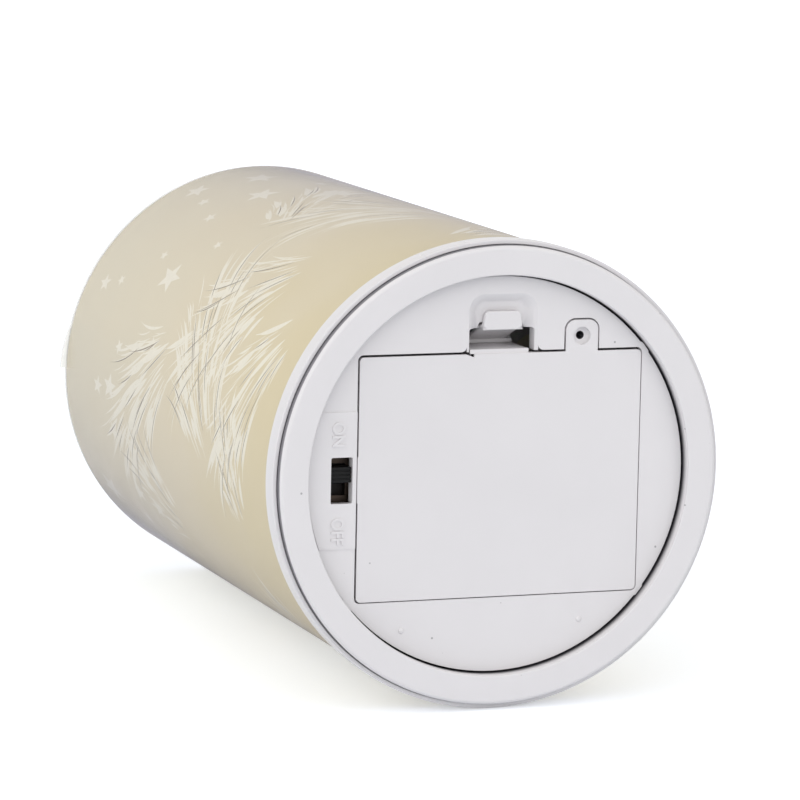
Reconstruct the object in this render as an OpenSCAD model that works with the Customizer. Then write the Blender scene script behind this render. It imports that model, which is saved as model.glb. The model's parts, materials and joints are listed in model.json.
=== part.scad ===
// Rotating motion lamp: a battery table lamp with a printed shade and a turning inner drum.
// Z runs up the lamp from the foot face. X runs across the battery door, and Y runs from
// its latch at -Y to its hinge tabs at +Y.

/* [Lamp] */
// Diameter of the foot ring that the lamp stands on
foot_d = 100; // [96:1:104]
// Height of the whole lamp
lamp_h = 172; // [150:1:200]
// Wall of the clear shade
shade_wall = 1.3; // [1:0.1:1.8]
// Height at which the gear deck sits
deck_z = 28; // [28:1:32]

/* [Bottom cover] */
// Diameter of the recess inside the foot ring
recess_d = 87; // [86:0.5:88]
// Depth of the bottom cover's face inside the foot ring
face_z = 3.1; // [2.5:0.1:3.5]
// Thickness of the bottom cover
cover_t = 2; // [1.6:0.1:2.4]

/* [Battery door] */
// Width of the battery door
door_w = 64.5; // [63:0.5:65]
// Length of the battery door from latch to hinge
door_l = 53; // [52:0.5:54]
// Depth of the sprung U of the door latch
latch_depth = 10.8; // [9:0.1:12]
// Diameter of one battery cell
cell_d = 14.5; // [13:0.5:14.5]

/* [Gears] */
// Tooth size of all gears, as pitch diameter over teeth
gear_module = 0.8; // [0.7:0.05:0.8]
// Teeth on the drum's ring gear
drum_teeth = 60; // [48:2:60]
// Teeth on the motor pinion
pinion_teeth = 10; // [10:1:12]
// Teeth on the large end of the idler
idler_teeth = 32; // [28:2:32]
// Teeth on the small end of the idler
idler_small_teeth = 12; // [10:1:12]

/* [Drum] */
// Diameter of the turning drum sleeve
drum_d = 86.6; // [80:0.2:88]
// Height of the top of the drum sleeve
drum_top = 158; // [120:1:160]

/* [Switch] */
// How far the switch knob slides
switch_travel = 3; // [2:0.1:3]

/* [Hidden] */

$fn = 96;
eps = 0.01;

// base
foot_r = foot_d / 2;
recess_r = recess_d / 2;
collar_r = foot_r + 1.1;
shade_r = foot_r + 0.15;
sleeve_t = 0.3;
sleeve_gap = 0.1;
foot_t = 2.6;
foot_round = 1;
foot_chamfer = 0.6;
collar_z0 = 1.55;
collar_z1 = 5.35;
collar_shelf = 3.9;
collar_round = 0.4;
collar_groove = 0.25;
upstand_h = 3;
housing_r = foot_r - 2.4;
housing_wall = 2;
ledge_w = 1.2;
gusset_t = 1.2;
gussets = 12;
wall_in = housing_r - housing_wall;
cover_r = recess_r - 0.42;
cover_in = face_z + cover_t;
pad_rise = 0.25;
pad_half = 14.8;
boss_x = 27;
boss_y = 31;
boss_r = 2.8;

// battery door, its opening and its hinge line
door_x = 0.65;
door_y = 0.13;
door_t = 2;
door_z0 = face_z - 0.15;
door_corner = 1;
open_x0 = door_x - door_w / 2 - 0.4;
open_x1 = door_x + door_w / 2 + 0.25;
open_y0 = door_y - door_l / 2 - 0.48;
open_y1 = door_y + door_l / 2 + 0.25;
hinge_y = door_y + door_l / 2 + 0.12;
tab_x = [-14, 15];
tab_w = 8;
lug_x = 19;
lug_y = -29.7;
lug_w = 7.4;
lug_top = 3.5;
lug_corner = 2.2;
rib_t = 0.8;
rib_h = 1.8;

// latch
latch_x = 0.1;
latch_w = 13.4;
slot_x0 = latch_x - latch_w / 2 - 0.3;
slot_x1 = latch_x + latch_w / 2 + 1.3;
leg_t = 1.1;
leg_face_y = -27.2;
pad_x = 0.87;
pad_w = 9;
pad_y0 = -35.5;
pad_y1 = -31.4;
pivot_y = -28.9;
pivot_z = face_z + latch_depth;
pivot_r = 0.78;
pivot_fit = 0.07;
recess_z = face_z + 1.8;
relief_r = 1.3;
well_x0 = slot_x0 - 1.5;
well_x1 = slot_x1 + 1.8;
well_z = recess_z + 1.4;

// switch
switch_x = -35.3;
switch_y = 0.3;
switch_z = 7;
window_w = 4.85;
slot_w = 4.3;
slot_l = 7;
knob_w = 4.5;
stem_w = 4;
knob_top = face_z + 0.25;
knob_l = 3.3;
knob_rest = switch_y - switch_travel / 2;
ear_pitch = 19;

// battery cells
cell_pitch = cell_d + 0.7;
cell_l = 50.5;
cell_z = cover_in + 0.5 + cell_d / 2;
tray_x0 = -28.2;
tray_x1 = 29.4;
tray_y = cell_pitch + cell_d / 2 + 0.45;
tray_wall = 1.2;
tray_roof = cell_z + cell_d / 2 + 0.25;
plate_t = 0.4;
plate_half = 5.6;
dimple_h = 1.3;
spring_l = 5;

// gears, each placed from the pitch circles that it meshes with
pressure = 25;
addendum = 0.85 * gear_module;
dedendum = 1.1 * gear_module;
backlash = 0.14;
deck_t = 2;
deck_top = deck_z + deck_t;
drum_pitch_r = gear_module * drum_teeth / 2;
idler_r = gear_module * (drum_teeth + idler_small_teeth) / 2;
motor_gap = gear_module * (idler_teeth + pinion_teeth) / 2;
motor_r = 35;
motor_a = 90;
idler_a = motor_a - acos((motor_r ^ 2 + idler_r ^ 2 - motor_gap ^ 2) / (2 * motor_r * idler_r));
motor_pos = motor_r * [cos(motor_a), sin(motor_a)];
idler_pos = idler_r * [cos(idler_a), sin(idler_a)];
mesh_a = atan2(motor_pos[1] - idler_pos[1], motor_pos[0] - idler_pos[0]);
low_gear_z = deck_top + 2.4;
gear_t = 3;
high_gear_z = low_gear_z + gear_t + 0.4;
journal_r = 10;
shaft_fit = 0.05;
thrust_z = deck_top + 2;

// drum and light
drum_r = drum_d / 2;
film_t = 0.4;
plate_z = high_gear_z + gear_t + 1;
carrier_t = 1.8;
sleeve_z0 = plate_z + carrier_t;
tube_r = 9.3;
tube_top = 150;
tube_z0 = plate_z + 1;
pin_r = 1;
pin_top = 157.2;
cap_t = 1.6;
cap_round = 1.1;
skirt_h = 5;
tab_reach = 1.2;
tab_a0 = 180;
tab_a1 = 193;

function arc(cx, cy, r, a0, a1, n) =
    [for (i = [0:n]) let (a = a0 + (a1 - a0) * i / n) [cx + r * cos(a), cy + r * sin(a)]];

// ---- gear teeth ----

function involute(a) = tan(a) * 180 / PI - a;

// Half the angle of a tooth at radius rho, in degrees
function half_tooth(teeth, rho) =
    let (r = gear_module * teeth / 2)
    let (base = r * cos(pressure))
    let (half = 90 / teeth - backlash / 2 / r * 180 / PI)
    half + involute(pressure) - (rho > base ? involute(acos(base / rho)) : 0);

function polar(r, a) = [r * cos(a), r * sin(a)];

// One tooth, up one flank and down the other
function tooth(teeth, centre) =
    let (r = gear_module * teeth / 2)
    let (root = r - dedendum)
    let (start = max(r * cos(pressure), root + 0.05))
    let (rhos = [root, for (i = [0:3]) start + (r + addendum - start) * i / 3])
    concat([for (rho = rhos) polar(rho, centre - half_tooth(teeth, rho))],
           [for (i = [4:-1:0]) polar(rhos[i], centre + half_tooth(teeth, rhos[i]))]);

module gear(teeth, phase, h) {
    linear_extrude(h)
        polygon([for (i = [0:teeth - 1]) each tooth(teeth, phase + i * 360 / teeth)]);
}

// ---- shared shapes ----

module tube(r_out, r_in, z0, z1) {
    translate([0, 0, z0])
        difference() {
            cylinder(r = r_out, h = z1 - z0);
            translate([0, 0, -1])
                cylinder(r = r_in, h = z1 - z0 + 2);
        }
}

// A block between two corners
module block(lo, hi) {
    translate(lo)
        cube(hi - lo);
}

// A flat rectangle between two corners
module rect(lo, hi) {
    translate(lo)
        square(hi - lo);
}

// A flat outline with round corners, from corner to corner
module round_rect(x0, y0, x1, y1, r) {
    translate([x0 + r, y0])
        square([x1 - x0 - 2 * r, y1 - y0]);
    translate([x0, y0 + r])
        square([x1 - x0, y1 - y0 - 2 * r]);
    for (x = [x0 + r, x1 - r], y = [y0 + r, y1 - r])
        translate([x, y])
            circle(r = r, $fn = 32);
}

module at_bosses() {
    for (x = [-boss_x, boss_x], y = [-boss_y, boss_y])
        translate([x, y, 0])
            children();
}

module at_cells() {
    for (i = [-1:1])
        translate([0, i * cell_pitch, 0])
            mirror([i == 0 ? 1 : 0, 0, 0])
                translate([i == 0 ? -(tray_x0 + tray_x1) : 0, 0, 0])
                    children();
}

// Round tube swept through a list of points. Each ring is turned by a direction that
// the path never runs along.
function unit(v) = v / norm(v);
function sweep_points(path, r, sides, aside) =
    let (last = len(path) - 1)
    [for (i = [0:last])
        let (d = unit(path[min(i + 1, last)] - path[max(i - 1, 0)]))
        let (u = unit(cross(d, aside)))
        let (v = cross(d, u))
        for (k = [0:sides - 1])
            path[i] + r * (cos(k * 360 / sides) * u + sin(k * 360 / sides) * v)];
function sweep_faces(n, sides) = concat(
    [[for (k = [0:sides - 1]) k]],
    [for (i = [0:n - 2], k = [0:sides - 1])
        let (a = i * sides + k)
        let (b = i * sides + (k + 1) % sides)
        each [[a, a + sides, b], [b, a + sides, b + sides]]],
    [[for (k = [sides - 1:-1:0]) (n - 1) * sides + k]]);

module sweep(path, r, sides, aside) {
    polyhedron(sweep_points(path, r, sides, aside), sweep_faces(len(path), sides));
}

// ---- base ----

module base_housing() {
    color("whitesmoke") {
        difference() {
            rotate_extrude()
                polygon(concat(
                    [[recess_r, foot_chamfer], [recess_r + foot_chamfer, 0]],
                    arc(foot_r - foot_round, foot_round, foot_round, -90, 0, 6),
                    [[foot_r, foot_t], [housing_r, foot_t], [housing_r, deck_z],
                     [wall_in, deck_z], [wall_in, cover_in + 2.4],
                     [recess_r - ledge_w, cover_in + 1.4], [recess_r - ledge_w, cover_in],
                     [recess_r, cover_in]]));
            // room in the ledge for the cover's screw bosses
            at_bosses() {
                translate([0, 0, cover_in - eps])
                    cylinder(r = boss_r + 0.3, h = 6);
            }
        }
        // gussets under the wall, on the ledge that the cover seats against
        for (i = [0:gussets - 1])
            rotate([0, 0, (i + 0.5) * 360 / gussets])
                translate([0, gusset_t / 2, 0])
                    rotate([90, 0, 0])
                        linear_extrude(gusset_t)
                            polygon([[wall_in - 1.2, cover_in + 1.9], [wall_in + 0.5, cover_in + 1.9],
                                     [wall_in + 0.5, cover_in + 9], [wall_in - 0.3, cover_in + 9]]);
    }
}

module finger_recess_outline(grow) {
    x0 = slot_x0 + 0.8 - grow;
    x1 = slot_x1 - 0.5 + grow;
    y0 = -38.3 - grow;
    r = 3 + grow * 0.6;
    translate([x0 + r, y0 + r])
        circle(r = r, $fn = 32);
    translate([x1 - r, y0 + r])
        circle(r = r, $fn = 32);
    translate([x0, open_y0 - 0.5])
        square([x1 - x0, 0.5]);
}

// Dished pocket round the latch pad, with a soft rim
module finger_recess() {
    steps = [[1.3, -0.3], [0.9, 0.05], [0.2, 0.5], [-0.5, 1.3], [-1.1, 1.8]];
    for (i = [0:3])
        hull()
            for (s = [steps[i], steps[i + 1]])
                translate([0, 0, face_z + s[1]])
                    linear_extrude(eps)
                        finger_recess_outline(s[0]);
}

module corner_relief(x, side) {
    translate([x, open_y0])
        difference() {
            rect([min(0, side * relief_r), -relief_r], [max(0, side * relief_r), 0.5]);
            translate([side * relief_r, -relief_r])
                circle(r = relief_r, $fn = 32);
        }
}

module door_opening() {
    translate([0, 0, -1])
        linear_extrude(cover_in + 6) {
            round_rect(open_x0, open_y0, open_x1, open_y1, 1.2);
            round_rect(lug_x - lug_w / 2 - 0.35, lug_y - lug_top - 0.35,
                       lug_x + lug_w / 2 + 0.35, open_y0 + 3, lug_corner + 0.3);
            round_rect(slot_x0, pad_y1 - 0.35, slot_x1, open_y0 + 3, 0.5);
            // the recess opens into the gap round the door with rounded corners
            corner_relief(slot_x0 - 0.5, -1);
            corner_relief(slot_x1 + 0.8, 1);
            round_rect(pad_x - pad_w / 2 - 0.6, pad_y1 - 1.6,
                       pad_x + pad_w / 2 + 0.5, open_y0 + 3, 0.5);
        }
}

module bottom_cover() {
    color("whitesmoke")
        difference() {
            union() {
                translate([0, 0, face_z])
                    cylinder(r = cover_r, h = cover_t);
                // small bumps that wedge the cover in the recess by each door corner
                for (a = [38.5, 141, 219, 321.5])
                    rotate([0, 0, a])
                        translate([cover_r - 2.2, 0, face_z])
                            linear_extrude(cover_t)
                                round_rect(-1, -1.6, 2.46, 1.6, 0.6);
                // raised pad round the switch window
                intersection() {
                    translate([0, 0, face_z - pad_rise])
                        cylinder(r = cover_r - 0.3, h = 1);
                    block([-foot_r, -pad_half, 0], [open_x0, pad_half, face_z + 1]);
                }
                // floor of the finger recess and bridge under the door's screw lug
                intersection() {
                    translate([0, 0, face_z])
                        cylinder(r = recess_r - 1.6, h = 20);
                    union() {
                        block([well_x0, -foot_r, cover_in - eps], [well_x1, open_y0 - 0.5, well_z]);
                        block([well_x0, -foot_r, cover_in - eps], [slot_x0 + 0.05, open_y0, well_z]);
                        block([slot_x1 - 0.05, -foot_r, cover_in - eps], [well_x1, open_y0, well_z]);
                    }
                }
                block([lug_x - 5.2, -34.6, cover_in - eps], [lug_x + 5.2, open_y0, cover_in + 1.5]);
                translate([lug_x, lug_y, cover_in])
                    cylinder(r = 2.3, h = 9);
                // posts for the switch and for the screws from the deck
                for (s = [-1, 1])
                    translate([switch_x, switch_y + s * ear_pitch / 2, cover_in - eps])
                        cylinder(r = 2, h = switch_z - cover_in + eps);
                at_bosses() {
                    translate([0, 0, cover_in - eps])
                        cylinder(r = boss_r, h = deck_z - cover_in + eps);
                }
                for (x = [-1, 1], y = [-1, 1])
                    block([min(x * boss_x, x * (boss_x - 8)), y * boss_y - 0.6, cover_in - eps],
                          [max(x * boss_x, x * (boss_x - 8)), y * boss_y + 0.6, cover_in + 3]);
            }
            difference() {
                door_opening();
                block([lug_x - 6, -36, cover_in], [lug_x + 6, open_y0, cover_in + 10]);
            }
            finger_recess();
            translate([0, 0, -1])
                linear_extrude(cover_in + 2)
                    round_rect(switch_x - window_w / 2, -5.05, switch_x + window_w / 2, 4.95, 0.4);
            translate([lug_x, lug_y, cover_in - 1])
                cylinder(r = 0.75, h = 9);
            for (s = [-1, 1])
                translate([switch_x, switch_y + s * ear_pitch / 2, cover_in - 1])
                    cylinder(r = 0.8, h = 6);
            at_bosses() {
                translate([0, 0, deck_z - 14])
                    cylinder(r = 1.2, h = 20);
            }
        }
}

module shade_collar() {
    color("white")
        rotate_extrude()
            polygon(concat(
                [[foot_r + collar_groove, collar_z0]],
                arc(collar_r - collar_round, collar_z0 + collar_round, collar_round, -90, 0, 3),
                arc(collar_r - collar_round, collar_z1 - collar_round, collar_round, 0, 90, 3),
                [[shade_r + 0.12, collar_z1], [shade_r + 0.12, collar_shelf],
                 [shade_r - shade_wall - 0.1, collar_shelf],
                 [shade_r - shade_wall - 0.1, collar_shelf + upstand_h],
                 [housing_r + 0.1, collar_shelf + upstand_h],
                 [housing_r + 0.1, foot_t], [foot_r + collar_groove, foot_t]]));
}

module outer_shade() {
    color([0.86, 0.82, 0.71, 0.6])
        tube(shade_r, shade_r - shade_wall, collar_shelf, lamp_h - cap_t);
}

module printed_sleeve() {
    color("tan")
        tube(shade_r - shade_wall - sleeve_gap, shade_r - shade_wall - sleeve_gap - sleeve_t,
             collar_shelf + upstand_h, lamp_h - cap_t - skirt_h - 0.2);
}

module top_cap() {
    skirt_r = shade_r - shade_wall - 0.1;
    color([0.9, 0.88, 0.82, 0.7])
        difference() {
            union() {
                rotate_extrude()
                    polygon(concat(
                        [[0, lamp_h], [0, lamp_h - cap_t - skirt_h], [skirt_r, lamp_h - cap_t - skirt_h],
                         [skirt_r, lamp_h - cap_t], [shade_r, lamp_h - cap_t]],
                        arc(shade_r - cap_round, lamp_h - cap_round, cap_round, 0, 90, 5)));
                // lift tab, blunt at one end and run out along the rim at the other
                translate([0, 0, lamp_h - cap_t])
                    linear_extrude(1)
                        polygon(concat(
                            [for (i = [0:8]) polar(shade_r + tab_reach * sin(i * 90 / 8),
                                                   tab_a1 - i * (tab_a1 - tab_a0 - 1) / 8)],
                            [polar(shade_r, tab_a0), polar(shade_r - 1.2, tab_a0),
                             polar(shade_r - 1.2, tab_a1)]));
            }
            translate([0, 0, lamp_h - cap_t - skirt_h - 1])
                cylinder(r = skirt_r - 1.3, h = skirt_h + 1);
        }
}

// ---- battery compartment ----

module battery_tray() {
    rim_z = cover_in + 0.02;
    color("whitesmoke")
        difference() {
            union() {
                block([tray_x0 - tray_wall, -tray_y - tray_wall, rim_z],
                      [tray_x1 + tray_wall, tray_y + tray_wall, tray_roof + 1.4]);
                intersection() {
                    block([open_x0 - 0.6, open_y0 + 0.85, rim_z],
                          [open_x1 + 1.4, open_y1 + 1.2, rim_z + 1.2]);
                    cylinder(r = recess_r - 1.5, h = 20);
                }
            }
            // one long cradle for each cell, open towards the door
            for (i = [-1:1]) {
                translate([tray_x0, i * cell_pitch, cell_z])
                    rotate([0, 90, 0])
                        cylinder(r = cell_d / 2 + 0.25, h = tray_x1 - tray_x0);
                block([tray_x0, i * cell_pitch - cell_d / 2 - 0.25, rim_z - 1],
                      [tray_x1, i * cell_pitch + cell_d / 2 + 0.25, cell_z]);
            }
            // the partitions stop short of the door
            block([tray_x0, -tray_y + 1, rim_z - 1], [tray_x1, tray_y - 1, rim_z + 4]);
            // pockets for the contact plates
            for (x = [tray_x0, tray_x1 - 1])
                block([x, -tray_y, rim_z - 1], [x + 1, tray_y, tray_roof]);
            // room for the hinge tabs
            for (x = tab_x)
                block([x - tab_w / 2 - 0.4, tray_y - 0.5, rim_z - 1],
                      [x + tab_w / 2 + 0.4, open_y1 + 3, rim_z + 2.2]);
            // slots for the two end tags
            for (y = [-cell_pitch, cell_pitch])
                block([tray_x1 - 1, y - 1.3, cell_z + 1.95], [tray_x1 + 4, y + 1.3, cell_z + 2.45]);
            // finger lift for the middle cell
            translate([(tray_x0 + tray_x1) / 2, 0, rim_z - 1])
                cylinder(r = 9, h = 8);
        }
}

module battery_door() {
    y0 = door_y - door_l / 2;
    y1 = door_y + door_l / 2;
    color("white")
        difference() {
            union() {
                translate([0, 0, door_z0])
                    linear_extrude(door_t) {
                        round_rect(door_x - door_w / 2, y0, door_x + door_w / 2, y1, door_corner);
                        round_rect(lug_x - lug_w / 2, lug_y - lug_top,
                                   lug_x + lug_w / 2, y0 + 4, lug_corner);
                        // small pip that centres the door in its gap
                        rect([door_x - door_w / 2 - 0.15, -5], [door_x, 5]);
                    }
                // first leg and turn of the latch's sprung U
                block([latch_x - latch_w / 2, leg_face_y, door_z0 + 0.4],
                      [latch_x + latch_w / 2, leg_face_y + leg_t, pivot_z + 0.2]);
                block([latch_x - latch_w / 2, leg_face_y - 0.1, door_z0 + 0.4],
                      [latch_x + latch_w / 2, y0 + 1, door_z0 + door_t]);
                translate([latch_x - latch_w / 2, pivot_y, pivot_z])
                    rotate([0, 90, 0])
                        cylinder(r = 1.6, h = latch_w, $fn = 48);
                block([latch_x - latch_w / 2, pivot_y, pivot_z + 0.2],
                      [latch_x + latch_w / 2, leg_face_y + leg_t, pivot_z + 1.6]);
                // hinge tabs that reach under the cover
                for (x = tab_x) {
                    block([x - tab_w / 2, y1 - 2.4, door_z0 + door_t - eps],
                          [x + tab_w / 2, y1 - 0.1, door_z0 + 3.45]);
                    block([x - tab_w / 2, y1 - 2.4, cover_in + 0.15],
                          [x + tab_w / 2, y1 + 2.3, door_z0 + 3.45]);
                }
                // stiffening ribs that stand between the cells, joined by cross ribs
                for (y = [-cell_pitch / 2, cell_pitch / 2])
                    block([tray_x0 + 3, y - rib_t / 2, door_z0 + door_t - eps],
                          [tray_x1 - 3, y + rib_t / 2, door_z0 + door_t + rib_h]);
                for (x = [-20:10:20])
                    block([x - rib_t / 2, -cell_pitch / 2, door_z0 + door_t - eps],
                          [x + rib_t / 2, cell_pitch / 2, door_z0 + door_t + 0.35]);
            }
            // seat of the screw that closes the door
            translate([lug_x, lug_y, door_z0 - 1])
                cylinder(r = 1.95, h = 2.2, $fn = 48);
            translate([lug_x, lug_y, door_z0 + 1.2 - eps])
                cylinder(r1 = 1.95, r2 = 1.5, h = 0.2, $fn = 48);
            translate([lug_x, lug_y, door_z0 - 1])
                cylinder(r = 0.85, h = 6, $fn = 48);
            // small sloping relief in the door's edge beside the U
            translate([slot_x0, y0 - eps, door_z0 - 1])
                linear_extrude(door_t + 2)
                    polygon([[-0.7, 0], [1.2, 0], [1.2, 0.7]]);
            // hollow of the U's turn, where the sprung leg is rooted
            translate([latch_x - latch_w / 2 - 1, pivot_y, pivot_z])
                rotate([0, 90, 0])
                    cylinder(r = pivot_r + pivot_fit, h = latch_w + 2, $fn = 48);
            block([latch_x - latch_w, pivot_y - 3, pivot_z - 3],
                  [latch_x + latch_w, pivot_y, pivot_z + 0.3]);
            block([latch_x - latch_w, pivot_y - 0.1, pivot_z - 3],
                  [latch_x + latch_w, leg_face_y, pivot_z - 0.3]);
        }
}

module door_latch() {
    inner = pad_y1;
    outer = pad_y1 - leg_t;
    pad_z = face_z + 0.25;
    color("white")
        translate([pad_x - pad_w / 2, 0, 0]) {
            translate([0, pivot_y, pivot_z])
                rotate([0, 90, 0])
                    cylinder(r = pivot_r, h = pad_w, $fn = 48);
            // sprung leg, drawn in the Y-Z plane
            rotate([90, 0, 90])
                linear_extrude(pad_w)
                    polygon([[inner, pad_z], [inner, face_z + 3.1], [pivot_y + 0.55, pivot_z - 0.5],
                             [pivot_y - 0.1, pivot_z + 0.7], [pivot_y - 0.75, pivot_z - 0.1],
                             [outer + 0.1, face_z + 4.4], [outer - 0.15, face_z + 3.9],
                             [outer, face_z + 3.5], [outer, pad_z + 1]]);
            // thumb pad, wider towards the door
            translate([0, 0, pad_z])
                linear_extrude(1.15)
                    polygon(concat(
                        [[0.9, inner], [pad_w - 0.9, inner], [pad_w, inner - 0.9]],
                        arc(pad_w - 1.5, pad_y0 + 1.2, 1.2, 0, -90, 5),
                        arc(1.5, pad_y0 + 1.2, 1.2, -90, -180, 5),
                        [[0, inner - 0.9]]));
        }
}

module battery_cells() {
    color("steelblue")
        at_cells() {
            x0 = tray_x0 + plate_t + spring_l;
            translate([x0, 0, cell_z])
                rotate([0, 90, 0])
                    rotate_extrude()
                        polygon(concat(
                            [[0, 0.3], [cell_d / 2 - 2.2, 0.3], [cell_d / 2 - 2, 0]],
                            arc(cell_d / 2 - 0.6, 0.6, 0.6, -90, 0, 4),
                            arc(cell_d / 2 - 0.6, cell_l - 1.8, 0.6, 0, 90, 4),
                            [[2.75, cell_l - 1.2], [2.75, cell_l], [0, cell_l]]));
        }
}

// Cone spring of four turns, closed at its wide end against the plate
function spring_path(turns, steps) =
    [for (i = [0:turns * steps])
        let (t = i / (turns * steps))
        let (a = 360 * i / steps)
        [0.45 + (spring_l - 0.75) * t, (4.8 - 2.3 * t) * cos(a), (4.8 - 2.3 * t) * sin(a)]];

module contact_springs() {
    color("silver")
        at_cells() {
            translate([tray_x0 + plate_t - 0.15, 0, cell_z])
                sweep(spring_path(4, 10), 0.3, 6, [1, 0, 0]);
        }
}

module contact_plates() {
    color("silver") {
        // tags that the leads are soldered to, on the two outer cells
        for (y = [-cell_pitch, cell_pitch])
            block([tray_x1 - 0.2, y - 1.2, cell_z + 2], [tray_x1 + 3.2, y + 1.2, cell_z + 2.4]);
        at_cells() {
            for (x = [tray_x0, tray_x1 - plate_t])
                block([x, -plate_half, cell_z - plate_half - 1],
                      [x + plate_t, plate_half, cell_z + plate_half + 0.8]);
            // pressed dimple that meets the cell's cap
            translate([tray_x1 - plate_t - dimple_h, 0, cell_z])
                rotate([0, 90, 0])
                    cylinder(r1 = 2, r2 = 3.2, h = dimple_h);
        }
    }
}

// ---- switch ----

module switch_frame() {
    color("rosybrown")
        translate([switch_x, switch_y, switch_z])
            difference() {
                union() {
                    linear_extrude(0.5)
                        round_rect(-3.3, -12, 3.3, 12, 1.2);
                    for (x = [-3.3, 2.8])
                        block([x, -6.2, 0.1], [x + 0.5, 6.2, 4.3]);
                }
                translate([0, 0, -1])
                    linear_extrude(3)
                        round_rect(-slot_w / 2, -slot_l / 2, slot_w / 2, slot_l / 2, 0.2);
                for (s = [-1, 1])
                    translate([0, s * ear_pitch / 2, -1])
                        cylinder(r = 1.1, h = 3);
            }
}

module switch_base() {
    color("saddlebrown")
        translate([switch_x, switch_y, switch_z])
            difference() {
                block([-2.75, -6.2, 0.5], [2.75, 6.2, 4.6]);
                block([-2.4, -4.5, 0], [2.4, 4.5, 2.6]);
            }
}

module switch_knob() {
    color("black")
        translate([switch_x, knob_rest, 0]) {
            difference() {
                union() {
                    block([-knob_w / 2, -knob_l / 2, knob_top],
                          [knob_w / 2, knob_l / 2, switch_z - 0.4]);
                    // narrower stem through the frame's slot
                    block([-stem_w / 2, -knob_l / 2, switch_z - 0.5],
                          [stem_w / 2, knob_l / 2, switch_z + 0.8]);
                }
                // grip grooves across the top
                for (y = [-1, 0, 1])
                    block([-knob_w, y * 0.9 - 0.16, 0], [knob_w, y * 0.9 + 0.16, knob_top + 0.2]);
            }
            block([-2.3, -2.6, switch_z + 0.6], [2.3, 2.6, switch_z + 2.3]);
        }
}

module switch_pins() {
    color("silver")
        for (i = [-1:1])
            translate([switch_x, switch_y + i * 3.5, 0])
                block([-0.25, -0.8, switch_z + 4.6], [0.25, 0.8, switch_z + 8]);
}

module switch_board() {
    color("darkgreen")
        difference() {
            block([switch_x - 4, switch_y - 8, switch_z + 4.9],
                  [switch_x + 3.6, switch_y + 8, switch_z + 6.3]);
            for (i = [-1:1])
                translate([switch_x, switch_y + i * 3.5, 0])
                    block([-0.3, -0.85, switch_z], [0.3, 0.85, switch_z + 9]);
        }
}

module switch_screws() {
    color("silver")
        for (s = [-1, 1])
            translate([switch_x, switch_y + s * ear_pitch / 2, 0]) {
                translate([0, 0, cover_in + 0.2])
                    cylinder(r = 0.8, h = switch_z - cover_in + 0.4);
                translate([0, 0, switch_z + 0.5])
                    rotate_extrude()
                        polygon(concat([[0, 0], [1.9, 0], [1.9, 0.3]], arc(0, -0.75, 2.1, 30, 90, 5)));
            }
}

// ---- deck and gears ----

module mechanism_deck() {
    color("whitesmoke")
        difference() {
            union() {
                translate([0, 0, deck_z])
                    cylinder(r = housing_r - 0.1, h = deck_t);
                // locating rim inside the housing wall
                difference() {
                    tube(housing_r - housing_wall - 0.15, housing_r - housing_wall - 1.6,
                         deck_z - 2, deck_z + eps);
                    at_bosses() {
                        translate([0, 0, deck_z - 4])
                            cylinder(r = boss_r + 0.3, h = 8);
                    }
                }
                // thrust shoulder and journal that the drum turns on
                translate([0, 0, deck_top - eps])
                    cylinder(r = 13, h = thrust_z - deck_top + eps);
                translate([0, 0, thrust_z - eps])
                    cylinder(r = journal_r, h = tube_z0 - thrust_z + eps);
                // webs from the journal to the rim
                for (a = [170:40:370])
                    rotate([0, 0, a])
                        block([12, -0.7, deck_top - eps], [housing_r - 1.5, 0.7, deck_top + 1.2]);
                // idler pin boss and motor seat
                translate([idler_pos[0], idler_pos[1], deck_top - eps])
                    cylinder(r = 3, h = low_gear_z - deck_top);
                translate([motor_pos[0], motor_pos[1], deck_top - eps])
                    cylinder(r = 6.4, h = 0.8);
                // posts that hold the control board below
                for (x = [-13, 13])
                    translate([x, 0, deck_z - 0.8])
                        cylinder(r = 2, h = 1);
            }
            translate([0, 0, deck_z - 1])
                cylinder(r = 7.6, h = 40);
            // a slot in the journal's wall for the light leads
            block([-1.5, 6, deck_z - 1], [1.5, 14, deck_top + 0.9]);
            translate([idler_pos[0], idler_pos[1], deck_z - 1])
                cylinder(r = 1.5, h = 10);
            translate([motor_pos[0], motor_pos[1], deck_z - 1])
                cylinder(r = 3.2, h = 10);
            at_bosses() {
                translate([0, 0, deck_z - 1])
                    cylinder(r = 1.6, h = 6);
            }
            // lightening windows
            for (a = [190:40:350])
                rotate([0, 0, a])
                    translate([28, 0, deck_z - 1])
                        cylinder(r = 5.5, h = 4);
        }
}

module gear_motor() {
    color("silver")
        translate([motor_pos[0], motor_pos[1], 0]) {
            block([-4, -9.6, deck_z - 11], [4, -6.5, deck_z - 7.6]);
            rotate_extrude()
                polygon(concat(
                    [[0, cover_in + 1.5], [2.5, cover_in + 1.5], [2.5, cover_in + 2.3]],
                    arc(7.15, cover_in + 2.9, 0.6, -90, 0, 4),
                    [[7.75, deck_z - 7.4], [7.55, deck_z - 7.3], [7.55, deck_z - 6.9],
                     [7.75, deck_z - 6.8], [7.75, deck_z], [3.1, deck_z], [3.1, deck_top - 0.3],
                     [0, deck_top - 0.3]]));
        }
}

module motor_shaft() {
    color("silver")
        translate([motor_pos[0], motor_pos[1], deck_top - 0.3])
            cylinder(r = 1, h = low_gear_z + gear_t - deck_top + 0.8);
}

module drive_pinion() {
    color("ivory")
        translate([motor_pos[0], motor_pos[1], low_gear_z])
            difference() {
                union() {
                    gear(pinion_teeth, mesh_a + 180 + 180 / pinion_teeth, gear_t);
                    translate([0, 0, -0.4])
                        cylinder(r = 2.2, h = 0.5);
                }
                translate([0, 0, -1])
                    cylinder(r = 1 + 0.03, h = 5);
            }
}

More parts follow.
